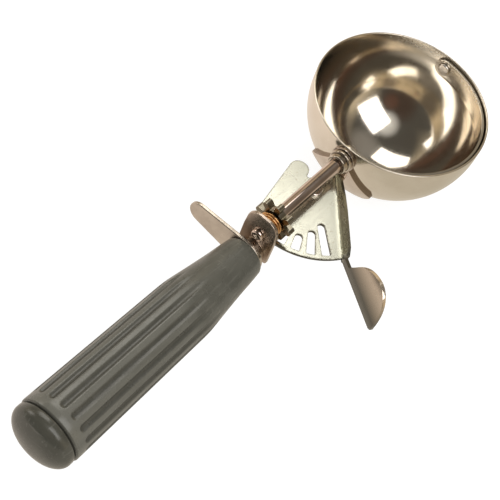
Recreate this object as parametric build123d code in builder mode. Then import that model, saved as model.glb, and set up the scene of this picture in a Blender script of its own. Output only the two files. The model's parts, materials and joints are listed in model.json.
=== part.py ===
from build123d import *
import math
import os

# Lever ice cream scoop, in millimetres.
# The spindle runs along X through the centre of the round bowl, which is the origin.
# +X points from the handle to the bowl and +Z points out of the mouth of the bowl.
# The thumb lever is on the -Y side and the finger rest on the +Y side.

os.makedirs("parts", exist_ok=True)

# ---------------------------------------------------------------- clearances
running_fit = 0.05          # radial gap of a shaft that turns in a hole
side_gap = 0.15             # gap between faces that slide past one another
blade_gap = 0.4             # gap between the scraper and the wall of the bowl

# ---------------------------------------------------------------- bowl
bowl_radius = 36.0
bowl_wall = 0.8
bowl_lip = 5.4              # straight lip above the centre of the sphere
lip_rounding = 0.3
bowl_inner_radius = bowl_radius - bowl_wall

saddle_thickness = 1.7
saddle_radius = bowl_radius + saddle_thickness
saddle_ear_radius = 5.2
saddle_half_width = 15.4
saddle_shoulder_z = -16.5
saddle_bottom_z = -24.0

# ---------------------------------------------------------------- gearing
slot_pitch_angle = 12.0
lobe_count = 8
lobe_pitch_angle = 360.0 / lobe_count
gear_ratio = lobe_pitch_angle / slot_pitch_angle
mesh_distance = 26.4        # from the lever pivot to the middle of the pinion
pitch_radius = mesh_distance / gear_ratio
lobe_radius = 1.15
lobe_centre_radius = 6.95
pinion_width = 3.0
pinion_core_radius = 5.1
pinion_hub_radius = 3.5
pinion_hub_length = 1.3
pinion_pin_radius = 0.8

# ---------------------------------------------------------------- lever
pivot_setback = 16.0        # from the back of the bowl to the lever pivot
pivot_x = -bowl_radius - pivot_setback
pinion_x = pivot_x - mesh_distance
lever_thickness = 1.2
lever_bottom_z = -pitch_radius - lever_thickness / 2 - 0.08
lever_top_z = lever_bottom_z + lever_thickness
sector_radius = 30.5
sector_rim = 1.6            # of the plate left outside the slots
slot_outer_radius = sector_radius - sector_rim
slot_inner_half_width = 1.5
slot_outer_half_width = 1.75
slot_corner_radius = 0.6
slot_inner_radii = [22.4, 22.4, 21.6, 18.6, 15.2]
tail_angle = 10.5           # direction of the counter tail
tail_half_width = 3.9
tail_offset = 9.4           # from the pivot to the middle line of the tail
tail_reach = 8.8            # from the pivot to the tip, along the tail
tail_rounding = 3.8
tail_root_rounding = 0.8
fold_distance = 9.8         # from the pivot to the folded edge
fold_angle = -137.9         # direction of the folded edge
flange_height = 6.2
flange_back_reach = 8.2     # from the foot of the fold to the end under the spindle
flange_front_lap = 1.6      # of the flange past the round edge, where the pad joins it
flange_lean = 10.0          # outwards from upright
pad_angle = -122.1          # direction of the thumb pad from the pivot
pad_curve_radius = 42.0
pad_bulge = 1.3
pad_offset = 0.5            # of the pad plane from the pivot, away from the grip
pad_step = 0.5              # from the round edge of the plate to the root of the pad
pad_root = sector_radius + pad_step
pad_length = 30.6           # from its root to the far rim
pad_height = 20.5           # from the underside of the plate to the top of the rim

# ---------------------------------------------------------------- pivot rivet
rivet_radius = 2.0
rivet_head_radius = 3.3
rivet_head_height = 1.0

# ---------------------------------------------------------------- frame
pivot_washer_thickness = 1.0
bar_top_z = lever_bottom_z - side_gap - pivot_washer_thickness
bar_thickness = 2.4
bar_width = 8.0
bar_rounding = 0.5
bar_bottom_z = bar_top_z - bar_thickness
grip_axis_z = bar_top_z - bar_thickness / 2
tang_width = 6.0
stud_radius = 2.5
stud_length = 8.0

bracket_setback = 8.1       # from the middle of the pinion to the guard plate
bracket_front_x = pinion_x - bracket_setback
bracket_thickness = 1.5
bracket_back_x = bracket_front_x - bracket_thickness
bracket_half_width = 7.0
bracket_top_half_width = 6.3
bracket_corner_radius = 4.8
bracket_top_z = 9.5
bracket_lip = 1.4           # of the guard plate below the shank bar
bracket_bottom_z = bar_bottom_z - bracket_lip

ferrule_length = 2.6
ferrule_radius = 5.4
ferrule_back_x = bracket_back_x - ferrule_length

rest_thickness = 1.6
rest_back_x = ferrule_back_x - rest_thickness
rest_root_radius = 7.0
rest_tip_radius = 4.7
rest_reach = 22.7
rest_rise = 1.0
grip_front_x = rest_back_x

# ---------------------------------------------------------------- spindle
spindle_radius = 2.7
journal_radius = 2.0
spindle_tip_size = 3.2
spindle_tip_length = 3.2
spindle_head_radius = 2.5
spindle_head_height = 1.5

front_bush_radius = 3.6
front_bush_flange_radius = 4.8
front_bush_flange_thickness = 1.6
rear_bush_radius = 3.0
rear_bush_flange_radius = 4.2
rear_bush_flange_thickness = 0.8
journal_length_ahead = 0.5  # of the journal in front of the rear bush
journal_shoulder_x = bracket_front_x + rear_bush_flange_thickness + journal_length_ahead

collar_radius = 4.1
collar_length = 2.2

# ---------------------------------------------------------------- scraper
blade_outer_radius = bowl_inner_radius - blade_gap
front_shoulder_x = -blade_outer_radius
spindle_tip_x = front_shoulder_x + spindle_tip_length
blade_thickness = 0.9
blade_inner_radius = blade_outer_radius - blade_thickness
blade_half_width = 4.3
blade_nut_radius = 3.5
blade_nut_height = 1.5
blade_pin_radius = 1.6
blade_pin_head_radius = 2.7
blade_pin_head_height = 1.0
blade_pin_outer_head_radius = 3.6

# ---------------------------------------------------------------- return spring
spring_wire_radius = 0.5
spring_coil_radius = 4.4
spring_pitch = 1.08
spring_turns = 3.75
spring_leg = 8.8
spring_clearance = 0.25
spring_front_x = pinion_x - pinion_width / 2 - spring_clearance - spring_wire_radius

# ---------------------------------------------------------------- grip
grip_length = 97.8
grip_back_x = grip_front_x - grip_length
grip_radius = 12.8          # at the butt
grip_front_radius = 7.4
grip_nose = 0.7             # by which the nose widens behind the front edge
taper_length = 36.0         # from the front to the shoulder
shoulder_share = 0.81       # of the widening, reached at the shoulder
flute_count = 16
flute_cutter_radius = 1.5
flute_depth = 0.95
flute_slope = 0.011         # of the flutes towards the axis, going forward
flute_end_x = grip_back_x + 5.5
flute_first_angle = 0.0
butt_bore_radius = 6.0
butt_bore_depth = 12.0
butt_bore_floor_x = grip_back_x + butt_bore_depth
butt_wall = 2.0             # between the end of the tang and the bore
tang_end_x = butt_bore_floor_x + butt_wall
stud_end_x = tang_end_x - stud_length
tang_washer_thickness = 1.2
tang_nut_height = 4.0
tang_nut_radius = 4.6
cap_radius = 12.5
cap_length = 8.4
cap_end_x = grip_back_x - cap_length
cap_spigot_length = 4.0
cap_spigot_fit = 0.05       # radial gap of the cap's spigot in the grip


def direction(angle):
    """Unit vector in the XY plane at an angle in degrees."""
    return Vector(math.cos(math.radians(angle)), math.sin(math.radians(angle)), 0)


def distance_from(place):
    """Key that sorts the corners of the lever's outline by their distance from a place."""
    return lambda v: (Vector(v.X, v.Y, 0) - place).length


def pivot_point(radius, angle):
    """Point of the lever at a radius and an angle about the pivot."""
    step = direction(angle) * radius
    return (pivot_x + step.X, step.Y)


def across(x):
    """Plane square to the spindle: local x is Y and local y is Z."""
    return Plane(origin=(x, 0, 0), x_dir=(0, 1, 0), z_dir=(1, 0, 0))


def taper_point(share_back, share_out):
    """Point of the grip's outline, as shares of the taper's length and of its widening."""
    narrow = grip_front_radius + grip_nose
    radius = narrow + share_out * (grip_radius - narrow)
    return (grip_front_x - share_back * taper_length, grip_axis_z + radius)


def through_notch(height):
    """Plane square to the pinion pin, which lies in the notch between two lobes."""
    tilt = math.radians(lobe_pitch_angle / 2)
    pin_axis = Vector(0, math.sin(tilt), math.cos(tilt))
    return Plane(origin=Vector(pinion_x, 0, 0) + pin_axis * height, x_dir=(1, 0, 0), z_dir=pin_axis)


# ================================================================= bowl
with BuildPart() as bowl:
    with BuildSketch(Plane.XZ) as bowl_section:
        with BuildLine():
            CenterArc((0, 0), bowl_radius, -90, 90)
            Line((bowl_radius, 0), (bowl_radius, bowl_lip))
            Line((bowl_radius, bowl_lip), (bowl_inner_radius, bowl_lip))
            Line((bowl_inner_radius, bowl_lip), (bowl_inner_radius, 0))
            CenterArc((0, 0), bowl_inner_radius, 0, -90)
            Line((0, -bowl_inner_radius), (0, -bowl_radius))
        make_face()
    revolve(axis=Axis.Z)
    fillet(bowl.edges().group_by(Axis.Z)[-1], lip_rounding)
    with BuildSketch(across(-bowl_radius - 4)) as spindle_opening:
        Circle(front_bush_radius)
    extrude(amount=10, mode=Mode.SUBTRACT)
    with BuildSketch(across(bowl_radius - 6)) as blade_pin_opening:
        Circle(blade_pin_radius)
    extrude(amount=10, mode=Mode.SUBTRACT)
bowl.part.label = "bowl"

# ================================================================= saddle
# Stamped plate that hugs the back of the bowl and carries the shank.
with BuildPart() as bowl_saddle:
    Sphere(saddle_radius)
    Sphere(bowl_radius, mode=Mode.SUBTRACT)
    Cylinder(bowl_radius, saddle_radius, align=(Align.CENTER, Align.CENTER, Align.MIN), mode=Mode.SUBTRACT)
    with BuildSketch(across(-saddle_radius - 3)) as saddle_outline:
        with BuildLine():
            Polyline(
                (-3.8, -2.6),
                (3.8, -2.6),
                (saddle_half_width, saddle_shoulder_z),
                (saddle_half_width - 3.5, saddle_bottom_z + 2),
                (0, saddle_bottom_z - 1.5),
                (-saddle_half_width + 3.5, saddle_bottom_z + 2),
                (-saddle_half_width, saddle_shoulder_z),
                close=True,
            )
        make_face()
        fillet(saddle_outline.vertices().group_by(Axis.Y)[0], 6.0)
        fillet(saddle_outline.vertices().filter_by(lambda v: abs(v.X) > 12), 2.0)
        Circle(saddle_ear_radius)
    extrude(amount=24, mode=Mode.INTERSECT)
    with BuildSketch(across(-saddle_radius - 3)) as saddle_hole:
        Circle(front_bush_radius)
    extrude(amount=24, mode=Mode.SUBTRACT)
bowl_saddle.part.label = "bowl_saddle"

# ================================================================= shank bar
# Flat bar from the saddle to the guard plate, then a narrow tang and a stud.
with BuildPart() as frame_bar:
    with BuildSketch(across(bracket_back_x)) as bar_section:
        with Locations((0, grip_axis_z)):
            RectangleRounded(bar_width, bar_thickness, bar_rounding)
    extrude(amount=-bracket_back_x - bowl_radius + 8)
    Sphere(saddle_radius, mode=Mode.SUBTRACT)
    with BuildSketch(across(bracket_back_x)) as tang_section:
        with Locations((0, grip_axis_z)):
            Rectangle(tang_width, bar_thickness)
    extrude(amount=tang_end_x - bracket_back_x)
    with BuildSketch(across(tang_end_x)) as stud_section:
        with Locations((0, grip_axis_z)):
            Circle(stud_radius)
    extrude(amount=stud_end_x - tang_end_x)
    with BuildSketch(Plane.XY.offset(bar_bottom_z - 1)) as pivot_opening:
        with Locations((pivot_x, 0)):
            Circle(rivet_radius)
    extrude(amount=bar_thickness + 2, mode=Mode.SUBTRACT)
frame_bar.part.label = "frame_bar"

# ================================================================= front bush
with BuildPart() as front_bush:
    with BuildSketch(across(-bowl_inner_radius)) as front_bush_sleeve:
        Circle(front_bush_radius)
    extrude(amount=bowl_inner_radius - saddle_radius)
    with BuildSketch(across(-saddle_radius)) as front_bush_flange:
        Circle(front_bush_flange_radius)
    extrude(amount=-front_bush_flange_thickness)
    chamfer(front_bush.edges().group_by(Axis.X)[0], 0.4)
    with BuildSketch(across(-bowl_inner_radius + 1)) as front_bush_bore:
        Circle(spindle_radius + running_fit)
    extrude(amount=-10, mode=Mode.SUBTRACT)
front_bush.part.label = "front_bush"

# ================================================================= guard plate
# Arched plate across the end of the shank, pierced for the bar and the rear bush.
with BuildPart() as end_bracket:
    with BuildSketch(across(bracket_back_x)) as bracket_outline:
        Polygon(
            (-bracket_half_width, bracket_bottom_z),
            (bracket_half_width, bracket_bottom_z),
            (bracket_half_width, 0),
            (bracket_top_half_width, bracket_top_z),
            (-bracket_top_half_width, bracket_top_z),
            (-bracket_half_width, 0),
            align=None,
        )
        fillet(bracket_outline.vertices().group_by(Axis.Y)[-1], bracket_corner_radius)
        fillet(bracket_outline.vertices().group_by(Axis.Y)[0], 1.2)
    extrude(amount=bracket_thickness)
    fillet(end_bracket.edges().group_by(Axis.X)[0], 0.35)
    fillet(end_bracket.edges().group_by(Axis.X)[-1], 0.35)
    with BuildSketch(across(bracket_back_x - 1)) as bracket_openings:
        Circle(rear_bush_radius)
        with Locations((0, grip_axis_z)):
            RectangleRounded(bar_width, bar_thickness, bar_rounding)
    extrude(amount=bracket_thickness + 2, mode=Mode.SUBTRACT)
end_bracket.part.label = "end_bracket"

# ================================================================= rear bush
with BuildPart() as rear_bush:
    with BuildSketch(across(bracket_back_x)) as rear_bush_sleeve:
        Circle(rear_bush_radius)
    extrude(amount=bracket_thickness)
    with BuildSketch(across(bracket_front_x)) as rear_bush_flange:
        Circle(rear_bush_flange_radius)
    extrude(amount=rear_bush_flange_thickness)
    with BuildSketch(across(bracket_back_x - 1)) as rear_bush_bore:
        Circle(journal_radius + running_fit)
    extrude(amount=6, mode=Mode.SUBTRACT)
rear_bush.part.label = "rear_bush"

# ================================================================= ferrule
# Short collar round the tang, between the guard plate and the finger rest.
with BuildPart() as ferrule:
    with BuildSketch(across(ferrule_back_x)) as ferrule_outline:
        with Locations((0, grip_axis_z)):
            Circle(ferrule_radius)
            Rectangle(tang_width, bar_thickness, mode=Mode.SUBTRACT)
    extrude(amount=ferrule_length)
ferrule.part.label = "ferrule"

# ================================================================= finger rest
with BuildPart() as finger_rest:
    with BuildSketch(across(rest_back_x)) as rest_outline:
        with Locations((0, grip_axis_z)):
            Circle(rest_root_radius)
        with Locations((rest_reach, grip_axis_z + rest_rise)):
            Circle(rest_tip_radius)
        make_hull()
        with Locations((0, grip_axis_z)):
            Rectangle(tang_width, bar_thickness, mode=Mode.SUBTRACT)
    extrude(amount=rest_thickness)
    rest_rims = finger_rest.edges().filter_by(GeomType.CIRCLE)
    fillet(rest_rims.sort_by(Axis.Y)[-2:], 0.4)
finger_rest.part.label = "finger_rest"

# ================================================================= grip
# Tapered plastic grip with long concave flutes that fade out along the taper.
grip_axis = Axis((0, 0, grip_axis_z), (1, 0, 0))
with BuildPart() as handle_grip:
    with BuildSketch(Plane.XZ) as grip_section:
        with BuildLine():
            front_edge = Line((grip_front_x, grip_axis_z), (grip_front_x, grip_axis_z + grip_front_radius - 1.2))
            nose = Line(front_edge @ 1, taper_point(0.024, 0.0))
            taper = Spline(
                nose @ 1,
                taper_point(0.16, 0.14),
                taper_point(0.30, 0.24),
                taper_point(0.44, 0.36),
                taper_point(0.58, 0.49),
                taper_point(0.72, 0.63),
                taper_point(0.85, 0.76),
                taper_point(1.0, shoulder_share),
                tangents=[(-1, 0.18), (-1, 0)],
            )
            straight = Line(taper @ 1, (grip_back_x + 0.8, grip_axis_z + grip_radius))
            seam = Line(straight @ 1, (grip_back_x, grip_axis_z + grip_radius - 0.8))
            butt = Line(seam @ 1, (grip_back_x, grip_axis_z))
            Line(butt @ 1, front_edge @ 0)
        make_face()
    revolve(axis=grip_axis)
    flute_reach = grip_radius - flute_depth + flute_cutter_radius
    for flute in range(flute_count):
        turn = math.radians(flute_first_angle + flute * 360.0 / flute_count)
        outward = Vector(0, math.cos(turn), math.sin(turn))
        flute_end = Vector(flute_end_x, 0, grip_axis_z) + outward * flute_reach
        flute_plane = Plane(
            origin=flute_end,
            x_dir=Vector(0, -math.sin(turn), math.cos(turn)),
            z_dir=Vector(1, 0, 0) - outward * flute_slope,
        )
        with BuildSketch(flute_plane) as flute_section:
            Circle(flute_cutter_radius)
        extrude(amount=grip_front_x - flute_end_x, mode=Mode.SUBTRACT)
        with Locations(flute_end):
            Sphere(flute_cutter_radius, mode=Mode.SUBTRACT)
    with BuildSketch(across(grip_front_x)) as grip_slot:
        with Locations((0, grip_axis_z)):
            Rectangle(tang_width, bar_thickness)
    extrude(amount=tang_end_x - grip_front_x, mode=Mode.SUBTRACT)
    with BuildSketch(across(tang_end_x)) as grip_stud_hole:
        with Locations((0, grip_axis_z)):
            Circle(stud_radius)
    extrude(amount=butt_bore_floor_x - tang_end_x - 1, mode=Mode.SUBTRACT)
    with BuildSketch(across(butt_bore_floor_x)) as butt_bore:
        with Locations((0, grip_axis_z)):
            Circle(butt_bore_radius)
    extrude(amount=grip_back_x - butt_bore_floor_x, mode=Mode.SUBTRACT)
handle_grip.part.label = "handle_grip"

# ================================================================= tang fixings
with BuildPart() as tang_washer:
    with BuildSketch(across(butt_bore_floor_x)) as washer_ring:
        with Locations((0, grip_axis_z)):
            Circle(butt_bore_radius - 0.4)
            Circle(stud_radius, mode=Mode.SUBTRACT)
    extrude(amount=-tang_washer_thickness)
tang_washer.part.label = "tang_washer"

with BuildPart() as tang_nut:
    with BuildSketch(across(butt_bore_floor_x - tang_washer_thickness)) as nut_outline:
        with Locations((0, grip_axis_z)):
            RegularPolygon(tang_nut_radius, 6)
            Circle(stud_radius, mode=Mode.SUBTRACT)
    extrude(amount=-tang_nut_height)
tang_nut.part.label = "tang_nut"

# ================================================================= end cap
with BuildPart() as end_cap:
    with BuildSketch(Plane.XZ) as cap_section:
        with BuildLine():
            cap_face = Line((grip_back_x, grip_axis_z), (grip_back_x, grip_axis_z + cap_radius - 0.9))
            cap_bevel = Line(cap_face @ 1, (grip_back_x - 0.9, grip_axis_z + cap_radius))
            cap_band = Line(cap_bevel @ 1, (grip_back_x - 2.3, grip_axis_z + cap_radius))
            dome = Spline(
                cap_band @ 1,
                (grip_back_x - cap_length * 0.66, grip_axis_z + cap_radius * 0.85),
                (grip_back_x - cap_length * 0.95, grip_axis_z + cap_radius * 0.50),
                (cap_end_x, grip_axis_z),
                tangents=[(-1, 0), (0, -1)],
            )
            Line(dome @ 1, cap_face @ 0)
        make_face()
    revolve(axis=grip_axis)
    with BuildSketch(across(grip_back_x)) as cap_spigot:
        with Locations((0, grip_axis_z)):
            Circle(butt_bore_radius - cap_spigot_fit)
    extrude(amount=cap_spigot_length)
end_cap.part.label = "end_cap"

# ================================================================= lever
# Slotted sector, counter tail, folded flange and curved thumb pad in one stamping.
fold_direction = direction(fold_angle)
fold_normal = direction(fold_angle + 90)
fold_foot = Vector(pivot_x, 0, 0) + fold_normal * fold_distance
fold_reach = math.sqrt(sector_radius**2 - fold_distance**2)
fold_end = fold_foot + fold_direction * fold_reach
fold_end_angle = math.degrees(math.atan2(fold_end.Y, fold_end.X - pivot_x))
fold_start = fold_foot - fold_direction * fold_reach * 0.36
tail_direction = direction(tail_angle)
tail_normal = direction(tail_angle + 90)
tail_edge_offset = tail_offset + tail_half_width
tail_tip = Vector(pivot_x, 0, 0) + tail_direction * tail_reach + tail_normal * tail_offset
tail_upper_corner = tail_tip + tail_normal * tail_half_width
tail_lower_corner = tail_tip - tail_normal * tail_half_width
tail_root = tail_lower_corner - tail_direction * tail_reach * 0.78
sector_end_angle = 180.0 + tail_angle - math.degrees(math.asin(tail_edge_offset / sector_radius))
sector_sweep = sector_end_angle - 360.0 - fold_end_angle

# Curved sheet from which the thumb pad is cut, bulging towards the grip.
pad_direction = direction(pad_angle)
pad_inward = Vector(pad_direction.Y, -pad_direction.X, 0)
pad_middle_z = lever_bottom_z + pad_height / 2
pad_sheet_plane = Plane(
    origin=Vector(pivot_x, 0, pad_middle_z) + pad_direction * pad_root * 0.9 - pad_inward * pad_offset,
    x_dir=pad_inward,
    z_dir=pad_direction,
)
with BuildPart() as pad_sheet:
    with BuildSketch(pad_sheet_plane) as sheet_section:
        with Locations((pad_bulge - pad_curve_radius, 0)):
            Circle(pad_curve_radius)
            Circle(pad_curve_radius - lever_thickness, mode=Mode.SUBTRACT)
        with Locations((0, 0)):
            Rectangle(pad_height * 0.8, pad_height * 1.5, mode=Mode.INTERSECT)
    extrude(amount=pad_length * 1.2)

pad_plane = Plane(origin=Vector(pivot_x, 0, 0) - pad_inward * pad_offset, x_dir=pad_direction, z_dir=pad_inward)


def pad_place(share_along, share_up):
    """Point of the pad's outline, by its share of the pad's length and height."""
    return (pad_root + share_along * pad_length, lever_bottom_z + share_up * pad_height)


with BuildPart() as thumb_pad:
    with BuildSketch(pad_plane.offset(-pad_height * 0.3)) as pad_outline:
        with BuildLine():
            pad_base = Line(pad_place(0, 0), pad_place(0.92, 0))
            pad_tip = Line(pad_base @ 1, pad_place(0.97, 0.08))
            pad_rim = Spline(
                pad_tip @ 1,
                pad_place(1.0, 0.455),
                pad_place(0.935, 0.845),
                pad_place(0.785, 1.0),
                pad_place(0.6, 0.975),
                pad_place(0.42, 0.805),
                pad_place(0.295, 0.53),
                pad_place(0.19, 0.25),
                tangents=[(0.2, 1), (-0.6, -1)],
            )
            pad_neck = Line(pad_rim @ 1, pad_place(0, 0.25))
            Line(pad_neck @ 1, pad_base @ 0)
        make_face()
    extrude(amount=pad_height * 0.6)
    add(pad_sheet.part, mode=Mode.INTERSECT)

with BuildPart() as thumb_lever:
    with BuildSketch(Plane.XY.offset(lever_bottom_z)) as sector_outline:
        with BuildLine():
            sector_arc = CenterArc((pivot_x, 0), sector_radius, fold_end_angle, sector_sweep)
            Polyline(
                sector_arc @ 1,
                (tail_upper_corner.X, tail_upper_corner.Y),
                (tail_lower_corner.X, tail_lower_corner.Y),
                (tail_root.X, tail_root.Y),
                (fold_start.X, fold_start.Y),
                (fold_end.X, fold_end.Y),
            )
        make_face()
        fillet(sector_outline.vertices().sort_by(distance_from(tail_tip))[:2], tail_rounding)
        fillet(sector_outline.vertices().sort_by(distance_from(tail_root))[0], tail_root_rounding)
        fillet(sector_outline.vertices().sort_by(Axis.X)[-1], 2.4)
        for slot, inner_radius in enumerate(slot_inner_radii):
            slot_angle = 180.0 + slot * slot_pitch_angle
            inner_centre = inner_radius + slot_inner_half_width
            with Locations(Location((pivot_x, 0, 0), (0, 0, slot_angle))):
                Polygon(
                    (inner_centre, -slot_inner_half_width),
                    (slot_outer_radius, -slot_outer_half_width),
                    (slot_outer_radius, slot_outer_half_width),
                    (inner_centre, slot_inner_half_width),
                    align=None,
                    mode=Mode.SUBTRACT,
                )
            with Locations(pivot_point(inner_centre, slot_angle)):
                Circle(slot_inner_half_width, mode=Mode.SUBTRACT)
        slot_corner_reach = math.hypot(slot_outer_radius, slot_outer_half_width)
        slot_corners = sector_outline.vertices().filter_by(
            lambda v: abs(math.hypot(v.X - pivot_x, v.Y) - slot_corner_reach) < 0.01
        )
        fillet(slot_corners, slot_corner_radius)
        with Locations((pivot_x, 0)):
            Circle(rivet_radius + running_fit, mode=Mode.SUBTRACT)
    extrude(amount=lever_thickness)
    # Flange folded up along the straight edge, towards the thumb pad, and leaning outwards.
    lean = math.radians(flange_lean)
    flange_plane = Plane(
        origin=(fold_foot.X, fold_foot.Y, lever_bottom_z),
        x_dir=fold_direction,
        z_dir=Vector(0, 0, math.sin(lean)) - fold_normal * math.cos(lean),
    )
    with BuildSketch(flange_plane) as flange_outline:
        with BuildLine():
            Polyline(
                (-flange_back_reach, 0),
                (-flange_back_reach * 0.9, flange_height * 0.48),
                (-flange_back_reach * 0.37, flange_height * 0.74),
                (fold_reach * 0.15, flange_height * 0.92),
                (fold_reach * 0.4, flange_height),
                (fold_reach * 0.95, flange_height),
                (fold_reach + flange_front_lap, flange_height * 0.77),
                (fold_reach + flange_front_lap, 0),
                close=True,
            )
        make_face()
        fillet(flange_outline.vertices().sort_by(Axis.X)[1], 1.0)
    extrude(amount=lever_thickness)
    add(thumb_pad.part)
thumb_lever.part.label = "thumb_lever"

# ================================================================= pivot
with BuildPart() as pivot_washer:
    with BuildSketch(Plane.XY.offset(bar_top_z)) as pivot_washer_ring:
        with Locations((pivot_x, 0)):
            Circle(rivet_head_radius + 0.7)
            Circle(rivet_radius, mode=Mode.SUBTRACT)
    extrude(amount=pivot_washer_thickness)
pivot_washer.part.label = "pivot_washer"

with BuildPart() as lever_rivet:
    rivet_bottom_z = bar_bottom_z
    rivet_top_z = lever_top_z + side_gap
    with BuildSketch(Plane.XY.offset(rivet_bottom_z)) as rivet_shank:
        with Locations((pivot_x, 0)):
            Circle(rivet_radius)
    extrude(amount=rivet_top_z - rivet_bottom_z)
    with BuildSketch(Plane.XY.offset(rivet_top_z)) as rivet_top_head:
        with Locations((pivot_x, 0)):
            Circle(rivet_head_radius)
    extrude(amount=rivet_head_height)
    fillet(lever_rivet.edges().group_by(Axis.Z)[-1], 0.7)
    with BuildSketch(Plane.XY.offset(rivet_bottom_z)) as rivet_lower_head:
        with Locations((pivot_x, 0)):
            Circle(rivet_head_radius)
    extrude(amount=-rivet_head_height)
    fillet(lever_rivet.edges().group_by(Axis.Z)[0], 0.7)
lever_rivet.part.label = "lever_rivet"

# ================================================================= spindle
with BuildPart() as spindle:
    with BuildSketch(across(journal_shoulder_x)) as spindle_body:
        Circle(spindle_radius)
    extrude(amount=front_shoulder_x - journal_shoulder_x)
    with BuildSketch(across(journal_shoulder_x)) as spindle_journal:
        Circle(journal_radius)
    extrude(amount=bracket_back_x - side_gap - journal_shoulder_x)
    with BuildSketch(across(bracket_back_x - side_gap)) as spindle_head:
        Circle(spindle_head_radius)
    extrude(amount=-spindle_head_height)
    fillet(spindle.edges().group_by(Axis.X)[0], 1.0)
    with BuildSketch(across(front_shoulder_x)) as spindle_tip:
        RectangleRounded(spindle_tip_size, spindle_tip_size, 0.3)
    extrude(amount=spindle_tip_x - front_shoulder_x)
    with BuildSketch(through_notch(-8)) as spindle_pin_hole:
        Circle(pinion_pin_radius)
    extrude(amount=16, mode=Mode.SUBTRACT)
spindle.part.label = "spindle"

with BuildPart() as spindle_collar:
    collar_back_x = -saddle_radius - front_bush_flange_thickness - side_gap - collar_length
    with BuildSketch(across(collar_back_x)) as collar_ring:
        Circle(collar_radius)
        Circle(spindle_radius, mode=Mode.SUBTRACT)
    extrude(amount=collar_length)
    chamfer(spindle_collar.edges().group_by(Axis.X)[0].sort_by(SortBy.LENGTH)[-1], 0.4)
spindle_collar.part.label = "spindle_collar"

# ================================================================= pinion
with BuildPart() as pinion:
    with BuildSketch(across(pinion_x - pinion_width / 2)) as pinion_outline:
        Circle(pinion_core_radius)
        with PolarLocations(lobe_centre_radius, lobe_count):
            Circle(lobe_radius)
        with PolarLocations(lobe_centre_radius - 1.25, lobe_count):
            Rectangle(2.5, 2 * lobe_radius)
        Circle(spindle_radius, mode=Mode.SUBTRACT)
    extrude(amount=pinion_width)
    with BuildSketch(across(pinion_x - pinion_width / 2)) as pinion_hub:
        Circle(pinion_hub_radius)
        Circle(spindle_radius, mode=Mode.SUBTRACT)
    extrude(amount=-pinion_hub_length)
    with BuildSketch(through_notch(-8)) as pinion_pin_hole:
        Circle(pinion_pin_radius)
    extrude(amount=16, mode=Mode.SUBTRACT)
pinion.part.label = "pinion"

with BuildPart() as pinion_pin:
    with BuildSketch(through_notch(-pinion_core_radius - 0.2)) as pin_section:
        Circle(pinion_pin_radius)
    extrude(amount=2 * pinion_core_radius + 0.4)
pinion_pin.part.label = "pinion_pin"

# ================================================================= scraper
# Thin strip inside the bowl with a round eye at each end, at rest on the lever side.
with BuildPart() as scraper_blade:
    Sphere(blade_outer_radius)
    Sphere(blade_inner_radius, mode=Mode.SUBTRACT)
    with BuildSketch(across(-bowl_radius)) as blade_outline:
        Circle(blade_half_width)
        with Locations((-bowl_radius / 2, 0)):
            Rectangle(bowl_radius, 2 * blade_half_width)
    extrude(amount=2 * bowl_radius, mode=Mode.INTERSECT)
    with BuildSketch(across(-bowl_radius)) as blade_drive_hole:
        Rectangle(spindle_tip_size, spindle_tip_size)
    extrude(amount=bowl_radius, mode=Mode.SUBTRACT)
    with BuildSketch(across(0)) as blade_pin_hole:
        Circle(blade_pin_radius + running_fit)
    extrude(amount=bowl_radius, mode=Mode.SUBTRACT)
scraper_blade.part.label = "scraper_blade"

with BuildPart() as blade_nut:
    with BuildSketch(across(-blade_inner_radius + 0.3)) as blade_nut_outline:
        RegularPolygon(blade_nut_radius, 6)
        Rectangle(spindle_tip_size, spindle_tip_size, mode=Mode.SUBTRACT)
    extrude(amount=blade_nut_height)
blade_nut.part.label = "blade_nut"

with BuildPart() as blade_pin:
    with BuildSketch(across(blade_inner_radius - 0.3)) as blade_pin_shank:
        Circle(blade_pin_radius)
    extrude(amount=bowl_radius - blade_inner_radius + 0.3)
    with BuildSketch(across(bowl_radius)) as blade_pin_outer_head:
        Circle(blade_pin_outer_head_radius)
    extrude(amount=blade_pin_head_height + 0.3)
    fillet(blade_pin.edges().group_by(Axis.X)[-1], 0.9)
    with BuildSketch(across(blade_inner_radius - 0.3)) as blade_pin_inner_head:
        Circle(blade_pin_head_radius)
    extrude(amount=-blade_pin_head_height)
    fillet(blade_pin.edges().group_by(Axis.X)[0], 0.6)
blade_pin.part.label = "blade_pin"

# ================================================================= return spring
# Coil wound round the spindle, with a straight leg that bears on the shank bar.
spring_length = spring_turns * spring_pitch
with BuildPart() as return_spring:
    with BuildLine() as spring_path:
        coil = Helix(
            spring_pitch,
            spring_length,
            spring_coil_radius,
            center=(spring_front_x, 0, 0),
            direction=(-1, 0, 0),
        )
        leg = Line(coil @ 1, (coil @ 1) + (coil % 1) * spring_leg)
    with BuildSketch(Plane(origin=coil @ 0, z_dir=coil % 0)) as spring_wire:
        Circle(spring_wire_radius)
    sweep(path=spring_path.wires()[0], is_frenet=True)
return_spring.part.label = "return_spring"

# ================================================================= output
finished = [
    bowl,
    bowl_saddle,
    frame_bar,
    front_bush,
    end_bracket,
    rear_bush,
    finger_rest,
    ferrule,
    handle_grip,
    tang_washer,
    tang_nut,
    end_cap,
    thumb_lever,
    pivot_washer,
    lever_rivet,
    spindle,
    spindle_collar,
    pinion,
    pinion_pin,
    scraper_blade,
    blade_nut,
    blade_pin,
    return_spring,
]
for piece in finished:
    export_step(piece.part, "parts/" + piece.part.label + ".step")
    box = piece.part.bounding_box()
    print(piece.part.label, len(piece.part.solids()), box.min, box.max)
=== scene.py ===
import json
import math

import bpy
from mathutils import Matrix, Vector


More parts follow.
